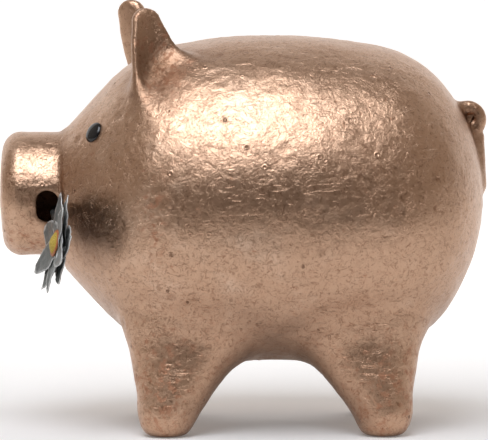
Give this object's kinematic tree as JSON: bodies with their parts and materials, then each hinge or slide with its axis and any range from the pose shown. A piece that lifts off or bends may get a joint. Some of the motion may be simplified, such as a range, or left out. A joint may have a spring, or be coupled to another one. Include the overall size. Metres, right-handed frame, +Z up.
{
  "type": "piggy bank",
  "caption": "Round gilded papier-mache piggy bank with a coin slot along its back, a stopper under its belly and a tin daisy held in its mouth.",
  "frame": {"origin": "on the floor, under the middle of the bounding box", "axes": "+X from the snout to the rump, +Y to the pig's right-hand side, +Z up"},
  "size_m": [0.18, 0.1214, 0.1583],
  "materials": {
    "copper_leaf": "satin copper leaf over red-brown bole, worn and pitted",
    "raw_board": "matte",
    "eye_bead": "gloss",
    "stopper_rubber": "matte",
    "stem_wire": "dull",
    "petal_tin": "dull grey with paler edges",
    "flower_yellow": "satin",
    "rim_orange": "satin"
  },
  "bodies": {
    "pig": {"left_body_shell": "copper_leaf", "right_body_shell": "copper_leaf", "snout_tube": "copper_leaf", "snout_disc": "copper_leaf", "left_ear": "copper_leaf", "right_ear": "copper_leaf", "front_left_leg": "copper_leaf", "front_right_leg": "copper_leaf", "rear_left_leg": "copper_leaf", "rear_right_leg": "copper_leaf", "tail": "copper_leaf", "left_eye": "eye_bead", "right_eye": "eye_bead", "stopper_collar": "raw_board"},
    "plug": {"stopper": "stopper_rubber"},
    "flower": {"flower_stem": "stem_wire", "front_petals": "petal_tin", "back_petals": "petal_tin", "flower_centre": "flower_yellow", "centre_rim": "rim_orange"}
  },
  "joints": [
    {"name": "stopper_pull", "type": "slide", "parent": "pig", "child": "plug", "axis": [0, 0, -1], "range_m": [0, 0.02]},
    {"name": "flower_pull", "type": "slide", "parent": "pig", "child": "flower", "axis": [0, -1, 0], "range_m": [0, 0.045]}
  ]
}
